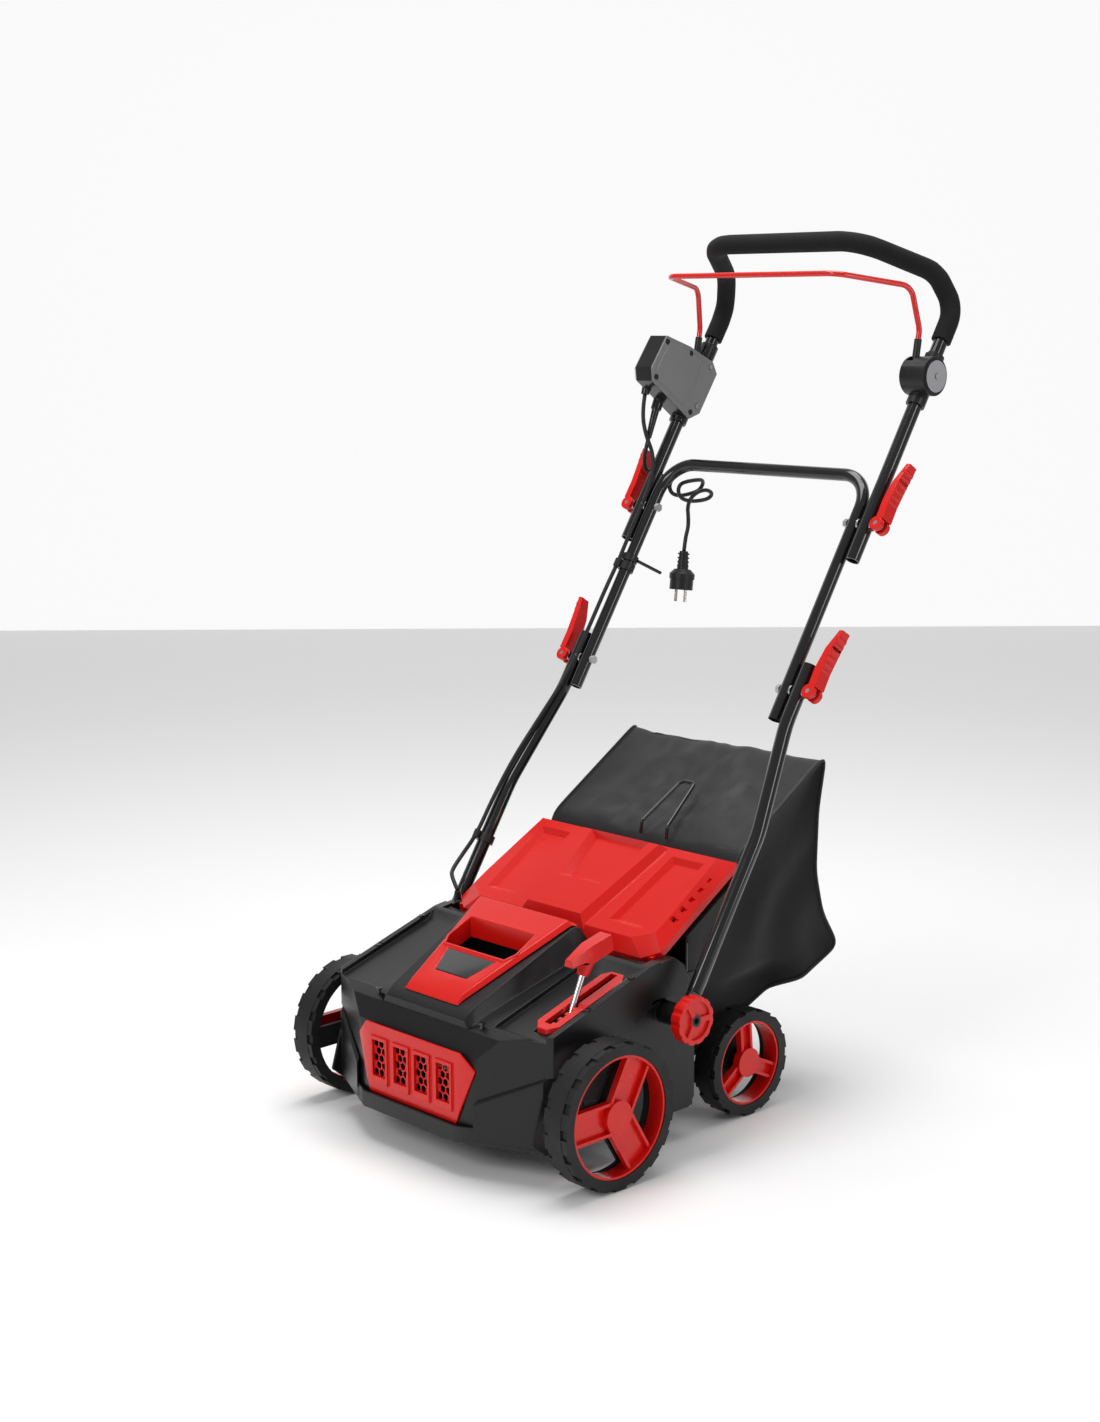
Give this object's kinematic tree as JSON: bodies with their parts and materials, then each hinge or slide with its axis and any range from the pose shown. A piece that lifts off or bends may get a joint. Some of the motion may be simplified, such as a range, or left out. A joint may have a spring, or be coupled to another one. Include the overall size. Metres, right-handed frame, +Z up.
{
  "type": "lawn dethatcher",
  "caption": "Electric walk-behind lawn dethatcher with a folding handle, spring-tine roller, height lever, lifting rear flap and fabric catcher bag.",
  "frame": {"origin": "on the ground under the middle of the machine's bounding box, leads and plug left out", "axes": "+Z up, -Y towards the nose, +Y towards the operator, +X to the operator's right"},
  "size_m": [0.5506, 0.8342, 1.188],
  "materials": {
    "black_plastic": "fine-grained moulded polypropylene, satin",
    "red_plastic": "moulded ABS, semi-gloss",
    "grey_plastic": "moulded nylon, satin",
    "wheel_plastic": "moulded, satin with a dull tread",
    "badge": "blank plate, gloss black",
    "black_tube": "gloss black powder coat",
    "red_paint": "gloss red powder coat",
    "zinc_steel": "bright zinc",
    "spring_steel": "plain spring wire",
    "motor_steel": "turned steel",
    "motor_can": "cast, dull",
    "cast_metal": "die cast",
    "belt_rubber": "toothless flat belt, dull",
    "foam": "textured soft sleeve, dull",
    "lead": "round rubber-sheathed lead, satin",
    "plug_rubber": "moulded plug, satin, with nickel pins",
    "bag_fabric": "coated woven top and open mesh sides"
  },
  "bodies": {
    "deck": {"base_housing": "black_plastic", "motor_hood": "black_plastic", "hood_screws": "zinc_steel", "hood_trim": "red_plastic", "badge_plate": "badge", "front_grille": "red_plastic", "depth_scale": "red_plastic", "motor_housing": "motor_can", "drive_belt": "belt_rubber", "bearing_blocks": "cast_metal", "rear_axle": "zinc_steel", "flap_hinge": "zinc_steel", "pivot_bolts": "zinc_steel"},
    "flap": {"rear_flap": "red_plastic"},
    "bag": {"bag_fabric": "bag_fabric", "bag_frame": "zinc_steel"},
    "roller": {"roller_shaft": "motor_steel", "roller_pulley": "cast_metal", "tine_discs": "grey_plastic", "spring_tines": "spring_steel"},
    "rotor": {"motor_rotor": "motor_steel"},
    "front_axle": {"crank_axle": "zinc_steel", "height_lever": "zinc_steel", "height_knob": "red_plastic"},
    "front_wheel_left": {"front_tyre_left": "wheel_plastic", "front_wheel_cover_left": "red_plastic"},
    "front_wheel_right": {"front_tyre_right": "wheel_plastic", "front_wheel_cover_right": "red_plastic"},
    "rear_wheel_left": {"rear_tyre_left": "wheel_plastic", "rear_wheel_cover_left": "red_plastic"},
    "rear_wheel_right": {"rear_tyre_right": "wheel_plastic", "rear_wheel_cover_right": "red_plastic"},
    "lower_handle": {"lower_tubes": "black_tube", "lower_fold_bolts": "zinc_steel", "lead_clip_lower": "black_plastic", "motor_lead_lower": "lead"},
    "knob_left": {"star_knob_left": "red_plastic"},
    "knob_right": {"star_knob_right": "red_plastic"},
    "middle_handle": {"middle_loop": "black_tube", "upper_fold_bolts": "zinc_steel", "lead_clip_upper": "black_plastic", "motor_lead_middle": "lead", "lead_hank": "lead", "plug_lead_lower": "lead", "mains_plug": "plug_rubber"},
    "upper_handle": {"upper_loop": "black_tube", "foam_grip": "foam", "switch_box": "black_plastic", "switch_cover": "grey_plastic", "switch_screws": "zinc_steel", "bail_hub": "grey_plastic", "motor_lead_upper": "lead", "plug_lead_upper": "lead"},
    "cam_lower_left": {"cam_lever_lower_left": "red_plastic"},
    "cam_lower_right": {"cam_lever_lower_right": "red_plastic"},
    "cam_upper_left": {"cam_lever_upper_left": "red_plastic"},
    "cam_upper_right": {"cam_lever_upper_right": "red_plastic"},
    "bail": {"bail_rod": "red_paint", "bail_sockets": "black_plastic"},
    "lock": {"lock_button": "red_plastic"}
  },
  "joints": [
    {"name": "flap_hinge", "type": "hinge", "parent": "deck", "child": "flap", "pos_m": [0, -0.1525, 0.242], "axis": [1, 0, 0], "range_deg": [0, 45], "stiffness_Nm_per_rad": 0.25, "springref_deg": -22.92},
    {"name": "bag_lift", "type": "slide", "parent": "deck", "child": "bag", "axis": [0, 0.8554, 0.518], "range_m": [0, 0.3]},
    {"name": "roller_spin", "type": "hinge", "parent": "deck", "child": "roller", "pos_m": [0, -0.2075, 0.077], "axis": [1, 0, 0], "continuous": true},
    {"name": "rotor_spin", "type": "hinge", "parent": "deck", "child": "rotor", "pos_m": [0, -0.3075, 0.15], "axis": [1, 0, 0], "continuous": true},
    {"name": "height_lever", "type": "hinge", "parent": "deck", "child": "front_axle", "pos_m": [0, -0.3415, 0.1], "axis": [1, 0, 0], "range_deg": [-10, 16]},
    {"name": "front_wheel_left_spin", "type": "hinge", "parent": "front_axle", "child": "front_wheel_left", "pos_m": [-0.255, -0.2995, 0.095], "axis": [1, 0, 0], "continuous": true},
    {"name": "front_wheel_right_spin", "type": "hinge", "parent": "front_axle", "child": "front_wheel_right", "pos_m": [0.255, -0.2995, 0.095], "axis": [1, 0, 0], "continuous": true},
    {"name": "rear_wheel_left_spin", "type": "hinge", "parent": "deck", "child": "rear_wheel_left", "pos_m": [-0.185, 0.0185, 0.0737], "axis": [1, 0, 0], "continuous": true},
    {"name": "rear_wheel_right_spin", "type": "hinge", "parent": "deck", "child": "rear_wheel_right", "pos_m": [0.185, 0.0185, 0.0737], "axis": [1, 0, 0], "continuous": true},
    {"name": "handle_tilt", "type": "hinge", "parent": "deck", "child": "lower_handle", "pos_m": [0, -0.1525, 0.185], "axis": [1, 0, 0], "range_deg": [0, 30], "deforming": ["motor_lead_lower"]},
    {"name": "knob_left_spin", "type": "hinge", "parent": "lower_handle", "child": "knob_left", "pos_m": [-0.256, -0.1525, 0.185], "axis": [1, 0, 0], "continuous": true},
    {"name": "knob_right_spin", "type": "hinge", "parent": "lower_handle", "child": "knob_right", "pos_m": [0.256, -0.1525, 0.185], "axis": [1, 0, 0], "continuous": true},
    {"name": "lower_fold", "type": "hinge", "parent": "lower_handle", "child": "middle_handle", "pos_m": [0, 0.09313, 0.57776], "axis": [1, 0, 0], "range_deg": [0, 120], "deforming": ["motor_lead_middle", "motor_lead_lower"]},
    {"name": "upper_fold", "type": "hinge", "parent": "middle_handle", "child": "upper_handle", "pos_m": [0, 0.22758, 0.79208], "axis": [1, 0, 0], "range_deg": [-150, 0], "deforming": ["motor_lead_upper", "plug_lead_upper", "motor_lead_middle"]},
    {"name": "cam_lower_left_turn", "type": "hinge", "parent": "lower_handle", "child": "cam_lower_left", "pos_m": [-0.2385, 0.09313, 0.57776], "axis": [0, -0.8471, 0.5314], "range_deg": [0, 100]},
    {"name": "cam_lower_right_turn", "type": "hinge", "parent": "lower_handle", "child": "cam_lower_right", "pos_m": [0.2385, 0.09313, 0.57776], "axis": [0, 0.8471, -0.5314], "range_deg": [0, 100]},
    {"name": "cam_upper_left_turn", "type": "hinge", "parent": "middle_handle", "child": "cam_upper_left", "pos_m": [-0.2385, 0.22758, 0.79208], "axis": [0, -0.8471, 0.5314], "range_deg": [0, 100]},
    {"name": "cam_upper_right_turn", "type": "hinge", "parent": "middle_handle", "child": "cam_upper_right", "pos_m": [0.2385, 0.22758, 0.79208], "axis": [0, 0.8471, -0.5314], "range_deg": [0, 100]},
    {"name": "bail_pull", "type": "hinge", "parent": "upper_handle", "child": "bail", "pos_m": [0, 0.3325, 0.99], "axis": [1, 0, 0], "range_deg": [-18, 0], "stiffness_Nm_per_rad": 1.5, "springref_deg": 17.19},
    {"name": "lock_press", "type": "slide", "parent": "upper_handle", "child": "lock", "axis": [1, 0, 0], "range_m": [0, 0.004], "stiffness_N_per_m": 300, "springref_m": -0.002}
  ],
  "couplings": [
    {"joint": "rotor_spin", "follows": "roller_spin", "ratio": 2.1429}
  ]
}
